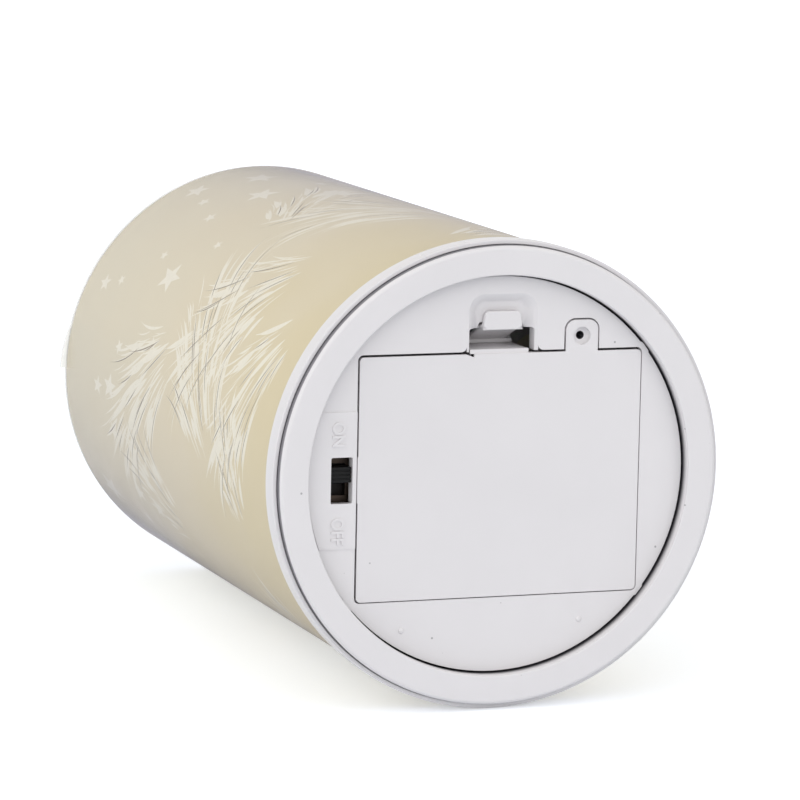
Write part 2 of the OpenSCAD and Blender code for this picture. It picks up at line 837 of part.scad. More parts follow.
module idler_gear() {
    color("ivory")
        translate([idler_pos[0], idler_pos[1], low_gear_z])
            difference() {
                union() {
                    gear(idler_teeth, mesh_a, gear_t);
                    translate([0, 0, gear_t - eps])
                        cylinder(r = 3.8, h = 0.5);
                    translate([0, 0, gear_t + 0.4])
                        gear(idler_small_teeth, idler_a + 180 + 180 / idler_small_teeth, gear_t + 0.4);
                }
                translate([0, 0, -1])
                    cylinder(r = 1.5 + shaft_fit, h = 12);
                // thinned web
                translate([0, 0, gear_t - 1.2])
                    difference() {
                        cylinder(r = 10.4, h = 1.3);
                        translate([0, 0, -1])
                            cylinder(r = 5.4, h = 4);
                    }
            }
}

module idler_pin() {
    color("silver")
        translate([idler_pos[0], idler_pos[1], 0])
            rotate_extrude()
                polygon([[0, deck_z - 0.9], [2.6, deck_z - 0.9], [2.6, deck_z], [1.5, deck_z],
                         [1.5, plate_z - 0.3], [1.2, plate_z - 0.15], [0, plate_z - 0.15]]);
}

// ---- drum ----

module drum_carrier() {
    hub_r = journal_r + 2.6;
    color("ivory")
        difference() {
            union() {
                translate([0, 0, high_gear_z])
                    gear(drum_teeth, idler_a, plate_z - high_gear_z + eps);
                translate([0, 0, thrust_z])
                    cylinder(r = hub_r, h = plate_z + 0.8 - thrust_z);
                translate([0, 0, plate_z])
                    cylinder(r = drum_r - film_t - 0.05, h = carrier_t);
                tube(drum_r, drum_r - film_t - 1.6, plate_z, plate_z + carrier_t);
                tube(drum_r - film_t - 0.05, drum_r - film_t - 1.6, plate_z, sleeve_z0 + 4);
            }
            translate([0, 0, thrust_z - 1])
                cylinder(r = journal_r + shaft_fit, h = 20);
            // hollow under the web of the ring gear
            tube(drum_pitch_r - 3.2, hub_r, high_gear_z - 1, plate_z - 0.2);
            // windows between the spokes
            for (i = [0:7])
                rotate([0, 0, i * 45])
                    translate([0, 0, plate_z - 1])
                        linear_extrude(carrier_t + 2)
                            polygon(concat(
                                arc(0, 0, drum_r - 4.5, 6, 39, 6),
                                arc(0, 0, drum_pitch_r + 4, 35, 10, 4)));
        }
}

module drum_sleeve() {
    color([0.95, 0.93, 0.8, 0.5])
        tube(drum_r, drum_r - film_t, sleeve_z0, drum_top);
}

module drum_spider() {
    rim_out = drum_r - film_t - 0.05;
    color("ivory")
        difference() {
            union() {
                tube(rim_out, rim_out - 1.6, drum_top - 5, drum_top);
                tube(drum_r, rim_out - 1.6, drum_top, drum_top + 1);
                for (a = [0:60:300])
                    rotate([0, 0, a])
                        block([3, -0.9, drum_top - 2.4], [rim_out - 1, 0.9, drum_top]);
                translate([0, 0, drum_top - 6])
                    cylinder(r = 4, h = 7);
            }
            translate([0, 0, drum_top - 7])
                cylinder(r = pin_r + shaft_fit, h = pin_top - drum_top + 7.2);
        }
}

module pivot_pin() {
    color("silver")
        rotate_extrude()
            polygon([[0, tube_top - 4], [pin_r, tube_top - 4], [pin_r, pin_top - 0.4],
                     [pin_r - 0.4, pin_top], [0, pin_top]]);
}

// ---- light ----

module diffuser_tube() {
    color([0.97, 0.97, 0.97, 0.6])
        tube(tube_r, tube_r - 1.2, tube_z0, tube_top - 1);
}

module diffuser_cap() {
    color("white")
        difference() {
            rotate_extrude()
                polygon([[0, tube_top - 3.4], [tube_r - 1.3, tube_top - 3.4], [tube_r - 1.3, tube_top - 1],
                         [tube_r, tube_top - 1], [tube_r, tube_top], [tube_r - 0.8, tube_top + 0.6],
                         [2.4, tube_top + 0.6], [2, tube_top + 1.4], [0, tube_top + 1.4]]);
            translate([0, 0, tube_top - 5])
                cylinder(r = pin_r, h = 10);
        }
}

module led_board() {
    color("white")
        block([-6, -0.8, tube_z0 - 8], [6, 0.8, tube_top - 6]);
}

module light_diodes() {
    color("lightyellow")
        for (z = [tube_z0 + 14:22:tube_top - 14], s = [-1, 1])
            translate([0, s * 0.8, z])
                rotate([-90 * s, 0, 0])
                    rotate_extrude($fn = 32)
                        polygon(concat([[0, 0], [2.9, 0], [2.9, 0.8], [2.5, 0.8]],
                                       arc(0, 2.4, 2.5, 0, 90, 6)));
}

module control_board() {
    color("darkgreen") {
        difference() {
            block([-17, -10, deck_z - 2.4], [17, 10, deck_z - 0.8]);
            for (x = [-13, 13])
                translate([x, 0, deck_z - 4])
                    cylinder(r = 1, h = 5);
        }
        // driver chip, resistor and capacitor on its lower face
        block([-4, -3, deck_z - 3.7], [4, 3, deck_z - 2.4 + eps]);
        block([8, 4, deck_z - 3.2], [11.2, 5.6, deck_z - 2.4 + eps]);
    }
}

module deck_screws() {
    color("silver")
        at_bosses() {
            translate([0, 0, deck_z - 10])
                cylinder(r = 1.2, h = deck_t + 10.1);
            translate([0, 0, deck_top])
                rotate_extrude()
                    polygon(concat([[0, 0], [2.7, 0], [2.7, 0.4]], arc(0, -1, 3, 28, 90, 5)));
        }
}

// Leads over the tray, each in the upright plane of its two terminals
function lead_path(a, b, steps) =
    let (rise = tray_roof + 1.8)
    let (p = [[a[0], a[1], rise], [a[0], a[1], rise + 2.2], [b[0], b[1], rise + 1.2],
              b - [0, 0, 0.8]])
    concat([a],
           [for (i = [0:steps])
               let (t = i / steps)
               let (u = 1 - t)
               u ^ 3 * p[0] + 3 * u ^ 2 * t * p[1] + 3 * u * t ^ 2 * p[2] + t ^ 3 * p[3]],
           [b]);

module lead(a, b) {
    sweep(lead_path(a, b, 9), 0.5, 6, cross([0, 0, 1], b - a));
}

module wiring_leads() {
    board_z = deck_z - 2.4;
    color("crimson")
        for (i = [-1, 1]) {
            lead([switch_x, switch_y + i * 3.5, switch_z + 8], [-16, i * 4, board_z]);
            lead([i * 2.5, motor_pos[1] - 8.6, deck_z - 7.6], [i * 3, 8.5, board_z]);
            lead([tray_x1 + 2.4, i * cell_pitch, cell_z + 2.4], [16, i * 4, board_z]);
        }
}

base_housing();
bottom_cover();
shade_collar();
outer_shade();
printed_sleeve();
top_cap();
battery_tray();
battery_door();
door_latch();
battery_cells();
contact_springs();
contact_plates();
switch_frame();
switch_base();
switch_knob();
switch_pins();
switch_board();
switch_screws();
mechanism_deck();
gear_motor();
motor_shaft();
drive_pinion();
idler_gear();
idler_pin();
drum_carrier();
drum_sleeve();
drum_spider();
pivot_pin();
diffuser_tube();
diffuser_cap();
led_board();
light_diodes();
control_board();
deck_screws();
wiring_leads();
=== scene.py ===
import json
import math
import random

import bmesh
import bpy
from bpy.props import FloatProperty, FloatVectorProperty, IntProperty, PointerProperty
from mathutils import Matrix, Quaternion, Vector


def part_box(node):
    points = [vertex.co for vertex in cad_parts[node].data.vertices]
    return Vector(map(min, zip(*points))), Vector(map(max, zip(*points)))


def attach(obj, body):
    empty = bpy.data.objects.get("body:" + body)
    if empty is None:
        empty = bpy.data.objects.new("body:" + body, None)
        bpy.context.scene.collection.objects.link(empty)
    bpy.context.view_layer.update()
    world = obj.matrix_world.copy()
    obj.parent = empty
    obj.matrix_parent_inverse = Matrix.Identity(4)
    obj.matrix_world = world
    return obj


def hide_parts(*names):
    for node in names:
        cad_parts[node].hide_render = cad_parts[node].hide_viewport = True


bl_info = {
    "name": "Rotating Motion Lamp",
    "version": (1, 0, 0),
    "blender": (4, 5, 0),
    "location": "View3D > Sidebar > Lamp",
    "description": "A battery lamp with a printed shade and a turning inner drum",
    "category": "Object",
}

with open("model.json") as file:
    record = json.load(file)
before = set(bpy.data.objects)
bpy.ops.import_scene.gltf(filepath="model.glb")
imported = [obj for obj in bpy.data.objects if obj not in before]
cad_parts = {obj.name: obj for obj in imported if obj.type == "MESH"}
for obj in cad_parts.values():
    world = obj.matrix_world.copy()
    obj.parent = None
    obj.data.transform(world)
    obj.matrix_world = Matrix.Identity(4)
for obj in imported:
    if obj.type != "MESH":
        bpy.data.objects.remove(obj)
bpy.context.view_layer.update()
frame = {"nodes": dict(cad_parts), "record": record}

MM = 0.001
NODES = frame["nodes"]
BODIES = {node: body for body, nodes in frame["record"]["behaviour"]["bodies"].items()
          for node in nodes}


def span(node, axis):
    """A node's lowest and highest coordinate along an axis, in millimetres."""
    low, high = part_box(node)
    return low["xyz".index(axis)] / MM, high["xyz".index(axis)] / MM


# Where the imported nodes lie. Sizes are in millimetres, and MM turns them into the scene's metres.
SHADE_Z0, SHADE_Z1 = span("outer_shade", "z")
SHADE_R = span("outer_shade", "x")[1]
SLEEVE_Z0, SLEEVE_Z1 = span("printed_sleeve", "z")
SLEEVE_R = span("printed_sleeve", "x")[1]
CAP_Z0, CAP_Z1 = span("top_cap", "z")
FOOT_R = span("base_housing", "x")[1]
COLLAR_R = span("shade_collar", "x")[1]
COLLAR_Z0, COLLAR_Z1 = span("shade_collar", "z")
PAD_Z = span("bottom_cover", "z")[0]
COVER_FACE_Z = 3.1
RECESS_R = 43.5
SCREW_AT = (19, -29.7)
SCREW_HOLE_R = 0.85


# ---- colours and the property groups that hold them ----


def linear(hex_colour):
    """Linear RGBA of an sRGB hex colour."""
    channels = [int(hex_colour[i:i + 2], 16) / 255 for i in (1, 3, 5)]
    return [c / 12.92 if c <= 0.04045 else ((c + 0.055) / 1.055) ** 2.4 for c in channels] + [1.0]


def colour_property(label, description, hex_colour):
    """A colour that the user can change."""
    return FloatVectorProperty(
        name=label, description=description, subtype="COLOR", size=4, min=0, max=1,
        default=linear(hex_colour))


class LampColours(bpy.types.PropertyGroup):
    moulding: colour_property("Moulding", "White plastic of the base and its covers", "#E1DEDF")
    film: colour_property("Film", "Pale gold ground of the printed sleeve", "#E4D8BE")
    film_far: colour_property("Film, far end", "Greyer gold near the top of the sleeve", "#E3DAC3")
    film_near: colour_property("Film, near end", "Deeper gold near the collar", "#E0D2AF")
    ink: colour_property("Pale ink", "Cream ink of the stars and plumes", "#F6F0E1")
    pen: colour_property("Pen ink", "Fine tan lines in the plumes", "#938470")
    acrylic: colour_property("Acrylic", "Tint of the clear shade", "#FEFEFD")
    drum: colour_property("Drum", "Ivory plastic of the turning parts", "#E9E6DA")
    knob: colour_property("Knob", "Black plastic of the switch knob", "#0C0C0D")
    # This tone is dust and painted shade together, painted on the foot ring's wall in the groove
    # under the collar.
    groove_dust_and_shade: colour_property("Grime", "Dust that gathers in the groove under the collar", "#7B797E")
    gap: colour_property("Gap", "Unlit depth of the gap round the cover and of the hole", "#2E2C31")


class LampSizes(bpy.types.PropertyGroup):
    star_count: IntProperty(
        name="Stars", description="Number of stars on the sleeve", default=52, min=0, max=90)
    plume_count: IntProperty(
        name="Plumes", description="Number of plumes round the sleeve", default=20, min=0, max=24)
    plume_length: FloatProperty(
        name="Plume length", description="Length of one plume's stem", default=58 * MM,
        min=20 * MM, max=80 * MM, unit="LENGTH", subtype="DISTANCE")
    stroke_width: FloatProperty(
        name="Stroke width", description="Usual width of one pale brush stroke", default=0.7 * MM,
        min=0.2 * MM, max=1.5 * MM, unit="LENGTH", subtype="DISTANCE")
    floor_y: FloatProperty(
        name="Floor", description="Where the lamp's side touches the studio floor",
        default=51.15 * MM, unit="LENGTH", subtype="DISTANCE")


# ---- nodes and materials ----


def per(mm):
    """Texture scale of a pattern whose features are that many millimetres apart."""
    return 1000 / mm


def add(tree, kind, sockets=None, **settings):
    """Adds a node. sockets holds values, or other nodes' outputs to link from."""
    node = tree.nodes.new("ShaderNode" + kind)
    for name, value in settings.items():
        setattr(node, name, value)
    for key, value in (sockets or {}).items():
        if isinstance(value, bpy.types.NodeSocket):
            tree.links.new(value, node.inputs[key])
        else:
            node.inputs[key].default_value = value
    return node


def new_material(name):
    """An empty material and its node tree."""
    made = bpy.data.materials.new(name)
    made.use_nodes = True
    made.node_tree.nodes.clear()
    return made, made.node_tree


def shade(colour, share):
    """A colour at that share of its brightness."""
    return [c * share for c in colour[:3]] + [1.0]


# Where dust and painted shade lie on the base, in the collar's groove, and where painted shade
# alone lies, in the gap round
# the cover and in the screw hole: the upright line that each is measured from, the distances from
# that line over which it fades in, and the heights over which it does.
AXIS = (0, 0)
COLLAR_GROOVE = (AXIS, (FOOT_R - 0.12, FOOT_R - 0.02), (0.2, 0.6))
COVER_GAP = (AXIS, (RECESS_R + 0.3, RECESS_R + 0.1), (0.5, 3.2))
SCREW_HOLE = (SCREW_AT, (SCREW_HOLE_R + 0.1, SCREW_HOLE_R + 0.03), (3.9, 4.1))


def stain_and_shade_area(tree, place, line, distances, heights):
    """1 where a darker tone is painted, dust with painted shade or painted shade alone, and 0
    elsewhere.
    """
    parts = add(tree, "SeparateXYZ", {"Vector": place})
    flat = add(tree, "CombineXYZ", {"X": parts.outputs["X"], "Y": parts.outputs["Y"]})
    reach = add(tree, "VectorMath", {0: flat.outputs["Vector"],
                                     1: (line[0] * MM, line[1] * MM, 0)}, operation="DISTANCE")
    shares = [add(tree, "MapRange", {"Value": value, "From Min": start * MM, "From Max": end * MM},
                  interpolation_type="SMOOTHSTEP").outputs["Result"]
              for value, (start, end) in ((reach.outputs["Value"], distances),
                                          (parts.outputs["Z"], heights))]
    return add(tree, "Math", {0: shares[0], 1: shares[1]}, operation="MULTIPLY").outputs[0]


CLOUD_MM = 22
SPECK_MM = (0.16, 0.3)  # a dust speck's dark middle and faded edge


def moulded_plastic(name, colour, roughness=0.42, grain_mm=0.35, dust_mm=0.0, stains_and_shades=(),
                    shine=0.5):
    """Injection-moulded plastic. Its spark-eroded mould leaves a fine grain that breaks up the
    shine, flow makes it a little cloudy, and dust leaves a few dark specks. Each area given with
    a colour is painted that colour: dust and painted shade in the collar's groove, painted shade
    in the gap round the cover and in the screw hole."""
    made, tree = new_material(name)
    place = add(tree, "TexCoord").outputs["Object"]
    cloud = add(tree, "TexNoise", {"Vector": place, "Scale": per(CLOUD_MM), "Detail": 3.0})
    base = add(tree, "Mix", {0: cloud.outputs["Fac"], 6: shade(colour, 0.965),
                             7: shade(colour, 1.03)}, data_type="RGBA").outputs[2]
    if dust_mm:
        dust = add(tree, "TexVoronoi", {"Vector": place, "Scale": per(dust_mm)})
        speck = add(tree, "MapRange", {
            "Value": dust.outputs["Distance"], "From Min": SPECK_MM[0] / dust_mm,
            "From Max": SPECK_MM[1] / dust_mm, "To Min": 0.62, "To Max": 0.0})
        base = add(tree, "Mix", {0: speck.outputs["Result"], 6: base, 7: shade(colour, 0.22)},
                   data_type="RGBA").outputs[2]
    # Each area is painted darker: dust with painted shade, or painted shade alone.
    for area, dark_tone in stains_and_shades:
        base = add(tree, "Mix", {0: stain_and_shade_area(tree, place, *area), 6: base, 7: dark_tone},
                   data_type="RGBA").outputs[2]
    rough = add(tree, "MapRange", {"Value": cloud.outputs["Fac"], "From Min": 0.3, "From Max": 0.7,
                                   "To Min": roughness - 0.05, "To Max": roughness + 0.06})
    grain = add(tree, "TexNoise", {"Vector": place, "Scale": per(grain_mm), "Detail": 2.0})
    bump = add(tree, "Bump", {"Height": grain.outputs["Fac"], "Strength": 0.22,
                              "Distance": 0.02 * MM})
    body = add(tree, "BsdfPrincipled", {
        "Base Color": base, "Roughness": rough.outputs["Result"], "IOR": 1.52,
        "Specular IOR Level": shine, "Normal": bump.outputs["Normal"]})
    add(tree, "OutputMaterial", {"Surface": body.outputs["BSDF"]})
    return made


def worked_metal(name, colour, roughness, scratch_mm=0.4):
    """Rolled or turned metal. Rolling draws its fine scratches along X, and handling dulls it
    in patches, so the highlight wanders."""
    made, tree = new_material(name)
    place = add(tree, "TexCoord").outputs["Object"]
    drawn = add(tree, "Mapping", {"Vector": place, "Scale": (0.06, 1.0, 1.0)})
    scratch = add(tree, "TexNoise", {"Vector": drawn.outputs["Vector"], "Scale": per(scratch_mm),
                                     "Detail": 2.0})
    dull = add(tree, "TexNoise", {"Vector": place, "Scale": per(6), "Detail": 3.0})
    rough = add(tree, "MapRange", {"Value": dull.outputs["Fac"], "From Min": 0.3, "From Max": 0.7,
                                   "To Min": roughness * 0.75, "To Max": roughness * 1.3})
    tone = add(tree, "Mix", {0: scratch.outputs["Fac"], 6: shade(colour, 0.85), 7: colour},
               data_type="RGBA").outputs[2]
    bump = add(tree, "Bump", {"Height": scratch.outputs["Fac"], "Strength": 0.15,
                              "Distance": 0.02 * MM})
    body = add(tree, "BsdfPrincipled", {
        "Base Color": tone, "Metallic": 1.0, "Roughness": rough.outputs["Result"],
        "Normal": bump.outputs["Normal"]})
    add(tree, "OutputMaterial", {"Surface": body.outputs["BSDF"]})
    return made


def clear_acrylic(name, tint, roughness, haze=0.0, reflection_shade=(1, 1, 1, 1), bends=False):
    """Extruded clear acrylic. Its skin mirrors the room softly and lets the print show through.
    haze is the share of light that a moulded, slightly frosted part scatters. The reflection
    tint greys its reflections: painted shade for surroundings dimmer than the white room that it
    mirrors. With bends, the wall is a lens that carries the print out to its very edge, while the
    lamps still shine straight through."""
    made, tree = new_material(name)
    place = add(tree, "TexCoord").outputs["Object"]
    wear = add(tree, "TexNoise", {"Vector": place, "Scale": per(9), "Detail": 4.0})
    rough = add(tree, "MapRange", {"Value": wear.outputs["Fac"], "From Min": 0.35, "From Max": 0.65,
                                   "To Min": roughness * 0.7, "To Max": roughness * 1.5})
    path = add(tree, "LightPath")
    lit = add(tree, "Math", {0: path.outputs["Is Shadow Ray"], 1: path.outputs["Is Diffuse Ray"]},
              operation="MAXIMUM")
    straight = add(tree, "Math", {0: lit.outputs[0],
                                  1: add(tree, "NewGeometry").outputs["Backfacing"]},
                   operation="MAXIMUM")
    mirrors = add(tree, "Math", {0: 1.0, 1: straight.outputs[0]}, operation="SUBTRACT")
    bare = add(tree, "Fresnel", {"IOR": 1.49})
    skin = add(tree, "Math", {0: bare.outputs["Fac"], 1: mirrors.outputs[0]}, operation="MULTIPLY")
    through = add(tree, "BsdfTransparent", {"Color": tint}).outputs["BSDF"]
    if bends:
        bent = add(tree, "BsdfRefraction", {"Color": tint, "Roughness": 0.0, "IOR": 1.49})
        through = add(tree, "MixShader", {0: straight.outputs[0], 1: bent.outputs[0],
                                          2: through}).outputs[0]
    if haze:
        milk = add(tree, "BsdfPrincipled", {"Base Color": tint, "Roughness": 0.35})
        through = add(tree, "MixShader", {0: haze, 1: through, 2: milk.outputs["BSDF"]}).outputs[0]
    gloss = add(tree, "BsdfGlossy", {"Color": reflection_shade, "Roughness": rough.outputs["Result"]})
    mixed = add(tree, "MixShader", {0: skin.outputs[0], 1: through, 2: gloss.outputs["BSDF"]})
    add(tree, "OutputMaterial", {"Surface": mixed.outputs[0]})
    return made


def printed_film(name, colours):
    """Pearl-gold ink flooded on polyester film. It is satin, deepens from the top to the collar,
    and drifts in tone where the ink lay thicker."""
    made, tree = new_material(name)
    place = add(tree, "TexCoord").outputs["Object"]
    height = add(tree, "SeparateXYZ", {"Vector": place}).outputs["Z"]
    climb = add(tree, "MapRange", {"Value": height, "From Min": SLEEVE_Z0 * MM,
                                   "From Max": SLEEVE_Z1 * MM}).outputs["Result"]
    drift = add(tree, "TexNoise", {"Vector": place, "Scale": per(38), "Detail": 2.0})
    mixed = add(tree, "Math", {0: drift.outputs["Fac"], 1: 0.5}, operation="SUBTRACT")
    spot = add(tree, "Math", {0: mixed.outputs[0], 1: 0.9, 2: climb}, operation="MULTIPLY_ADD")
    tones = add(tree, "ValToRGB", {"Fac": spot.outputs[0]})
    tones.color_ramp.elements[0].color = colours.film_near
    tones.color_ramp.elements[1].color = colours.film_far
    tones.color_ramp.elements.new(0.45).color = colours.film
    fleck = add(tree, "TexNoise", {"Vector": place, "Scale": per(0.5), "Detail": 1.0})
    bump = add(tree, "Bump", {"Height": fleck.outputs["Fac"], "Strength": 0.1,
                              "Distance": 0.01 * MM})
    body = add(tree, "BsdfPrincipled", {
        "Base Color": tones.outputs["Color"], "Roughness": 0.46,
        "Normal": bump.outputs["Normal"]})
    add(tree, "OutputMaterial", {"Surface": body.outputs["BSDF"]})
    return made


def printing_ink(name, colour, gap_mm):
    """Screen-printed ink, thin enough that its mesh leaves paler and darker threads."""
    made, tree = new_material(name)
    place = add(tree, "TexCoord").outputs["Object"]
    thin = add(tree, "TexNoise", {"Vector": place, "Scale": per(gap_mm), "Detail": 2.0})
    tone = add(tree, "Mix", {0: thin.outputs["Fac"], 6: shade(colour, 0.93),
                             7: shade(colour, 1.04)}, data_type="RGBA").outputs[2]
    body = add(tree, "BsdfPrincipled", {"Base Color": tone, "Roughness": 0.5})
    add(tree, "OutputMaterial", {"Surface": body.outputs["BSDF"]})
    return made


def opal_acrylic(name):
    """Opal acrylic tube. White pigment scatters the light inside its wall, so it glows evenly."""
    made, tree = new_material(name)
    place = add(tree, "TexCoord").outputs["Object"]
    cloud = add(tree, "TexNoise", {"Vector": place, "Scale": per(14), "Detail": 2.0})
    tone = add(tree, "Mix", {0: cloud.outputs["Fac"], 6: linear("#EDEDEE"), 7: linear("#F6F6F4")},
               data_type="RGBA").outputs[2]
    body = add(tree, "BsdfPrincipled", {
        "Base Color": tone, "Roughness": 0.3, "IOR": 1.49, "Subsurface Weight": 0.4,
        "Subsurface Scale": 2 * MM, "Subsurface Radius": (1.0, 1.0, 1.0)})
    add(tree, "OutputMaterial", {"Surface": body.outputs["BSDF"]})
    return made


def circuit_board(name, mask, copper):
    """Glass-epoxy board. Solder mask lies over raised copper tracks that show as paler lines."""
    made, tree = new_material(name)
    place = add(tree, "TexCoord").outputs["Object"]
    tracks = add(tree, "TexBrick", {
        "Vector": place, "Color1": mask, "Color2": shade(mask, 0.85), "Mortar": copper,
        "Scale": per(10), "Mortar Size": 0.035, "Brick Width": 0.42, "Row Height": 0.2})
    bump = add(tree, "Bump", {"Height": tracks.outputs["Fac"], "Strength": 0.4,
                              "Distance": 0.04 * MM})
    body = add(tree, "BsdfPrincipled", {
        "Base Color": tracks.outputs["Color"], "Roughness": 0.35, "Normal": bump.outputs["Normal"]})
    add(tree, "OutputMaterial", {"Surface": body.outputs["BSDF"]})
    return made


def paper_phenolic(name):
    """Paper-phenolic laminate with the plies of its paper on every cut edge, painted near black,
    darker than the laminate, as painted shade for the depth of the switch window.
    """
    made, tree = new_material(name)
    place = add(tree, "TexCoord").outputs["Object"]
    plies = add(tree, "TexWave", {"Vector": place, "Scale": per(3), "Distortion": 1.5},
                bands_direction="Z")
    tone = add(tree, "Mix", {0: plies.outputs["Fac"], 6: linear("#17110D"), 7: linear("#241A14")},
               data_type="RGBA").outputs[2]
    body = add(tree, "BsdfPrincipled", {"Base Color": tone, "Roughness": 0.55})
    add(tree, "OutputMaterial", {"Surface": body.outputs["BSDF"]})
    return made


BAND_FROM = 20  # from a cell's middle to its bands


def shrink_sleeve(name):
    """Shrunk vinyl over a steel can: blue, glossy, with a silver band round each end."""
    made, tree = new_material(name)
    place = add(tree, "TexCoord").outputs["Object"]
    low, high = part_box("battery_cells")
    along = add(tree, "SeparateXYZ", {"Vector": place}).outputs["X"]
    middle = add(tree, "Math", {0: along, 1: (low[0] + high[0]) / 2}, operation="SUBTRACT")
    reach = add(tree, "Math", {0: middle.outputs[0]}, operation="ABSOLUTE")
    band = add(tree, "Math", {0: reach.outputs[0], 1: BAND_FROM * MM}, operation="GREATER_THAN")
    ripple = add(tree, "TexNoise", {"Vector": place, "Scale": per(5), "Detail": 2.0})
    tone = add(tree, "Mix", {0: band.outputs[0], 6: linear("#2F5F9A"), 7: linear("#B9BDC2")},
               data_type="RGBA").outputs[2]
    bump = add(tree, "Bump", {"Height": ripple.outputs["Fac"], "Strength": 0.3,
                              "Distance": 0.1 * MM})
    body = add(tree, "BsdfPrincipled", {
        "Base Color": tone, "Roughness": 0.25, "Coat Weight": 0.4,
        "Normal": bump.outputs["Normal"]})
    add(tree, "OutputMaterial", {"Surface": body.outputs["BSDF"]})
    return made


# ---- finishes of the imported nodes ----


def finishes(colours):
    """The material of each node, by the node's name."""
    # The foot ring's groove gets dust with painted shade. Its recess wall by the cover, and the
    # screw holes of the cover and door, get painted shade.
    foot = moulded_plastic("ABS, spark-textured white foot", colours.moulding, 0.42, dust_mm=7.5,
                           stains_and_shades=((COLLAR_GROOVE, colours.groove_dust_and_shade), (COVER_GAP, colours.gap)))
    cover = moulded_plastic("ABS, spark-textured white cover", colours.moulding, 0.42, dust_mm=7.5,
                            stains_and_shades=((SCREW_HOLE, colours.gap),))
    door = moulded_plastic("ABS, white door", shade(colours.moulding, 0.995), 0.45, dust_mm=11,
                           stains_and_shades=((SCREW_HOLE, colours.gap),))
    collar = moulded_plastic("ABS, polished white", colours.moulding, 0.3, dust_mm=9)
    inner = moulded_plastic("ABS, white inner moulding", shade(colours.moulding, 0.96), 0.5)
    ivory = moulded_plastic("Acetal, ivory gear", linear("#E6DFC8"), 0.33, 0.6)
    drum = moulded_plastic("ABS, ivory drum", colours.drum, 0.4)
    zinc = worked_metal("Steel, zinc-plated screw", linear("#B8BCC2"), 0.32)
    steel = worked_metal("Steel, ground pin", linear("#C9CBCF"), 0.18)
    nickel = worked_metal("Steel, nickel-plated", linear("#CFCBC0"), 0.24)
    green = circuit_board("Circuit board, green mask", linear("#1E5B3A"), linear("#3C8A5E"))
    white = circuit_board("Circuit board, white mask", linear("#ECECEA"), linear("#D5D5D2"))
    return {
        "base_housing": foot,
        "bottom_cover": cover,
        "shade_collar": collar,
        "outer_shade": clear_acrylic("Acrylic, extruded clear tube", colours.acrylic, 0.16,
                                     # The grey reflection tint is painted shade, dimming the tube's
                                     # reflections of the white room.
                                     reflection_shade=linear("#BDB9BC"), bends=True),
        "printed_sleeve": printed_film("Polyester film, pearl-gold print", colours),
        "top_cap": clear_acrylic("Polystyrene, clear moulded cap", colours.acrylic, 0.12, 0.45),
        "battery_tray": inner,
        "battery_door": door,
        "door_latch": door,
        "battery_cells": shrink_sleeve("Vinyl shrink over steel can"),
        "contact_springs": nickel,
        "contact_plates": nickel,
        # The frame's dark brown-grey is painted shade for the depth of the switch window, laid over
        # the tin plate's own colour.
        "switch_frame": worked_metal("Steel, tin-plated frame", linear("#524841"), 0.4),
        "switch_base": paper_phenolic("Paper-phenolic laminate"),
        "switch_knob": moulded_plastic("Acetal, black knob", colours.knob, 0.5, 0.3, shine=0.2),
        "switch_pins": worked_metal("Brass, tinned pin", linear("#C4C0B4"), 0.3),
        "switch_board": green,
        "switch_screws": zinc,
        "mechanism_deck": inner,
        "gear_motor": worked_metal("Steel, drawn motor can", linear("#B2B4B6"), 0.28),
        "motor_shaft": steel,
        "drive_pinion": ivory,
        "idler_gear": ivory,
        "idler_pin": steel,
        "drum_carrier": drum,
        "drum_sleeve": clear_acrylic("Polyester film, clear drum", linear("#F6F1DE"), 0.15, 0.45),
        "drum_spider": drum,
        "pivot_pin": steel,
        "diffuser_tube": opal_acrylic("Acrylic, opal tube"),
        "diffuser_cap": collar,
        "led_board": white,
        "light_diodes": moulded_plastic("Silicone, warm diode lens", linear("#F1E2A4"), 0.2, 1.0),
        "control_board": green,
        "deck_screws": zinc,
        "wiring_leads": moulded_plastic("PVC, red lead", linear("#B3262B"), 0.4, 0.5),
    }


class LAMP_OT_nodes(bpy.types.Operator):
    """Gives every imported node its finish"""
    bl_idname = "lamp.nodes"
    bl_label = "Finishes"

    def execute(self, context):
        for node, surface in finishes(context.scene.lamp_colours).items():
            packed = NODES[node]
            packed.data.materials.clear()
            packed.data.materials.append(surface)
        return {"FINISHED"}


# ---- shared mesh tools ----

WELD = 0.002 * MM
SHARP = 35  # degrees between the faces of an edge that the mould rounds


def finish_of(node):
    """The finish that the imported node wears."""
    return NODES[node].data.materials[0]


def make_piece(bm, name, node, surface=None, sharp=32, replaced=True):
    """Turns a finished bmesh into a piece that rides with a node's body and wears its finish."""
    mesh = bpy.data.meshes.new(name)
    bm.to_mesh(mesh)
    bm.free()
    piece = bpy.data.objects.new(name, mesh)
    bpy.context.scene.collection.objects.link(piece)
    mesh.materials.append(surface or finish_of(node))
    mesh.shade_smooth()
    mesh.set_sharp_from_angle(angle=math.radians(sharp))
    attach(piece, BODIES[node])
    if replaced:
        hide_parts(node)
    return piece


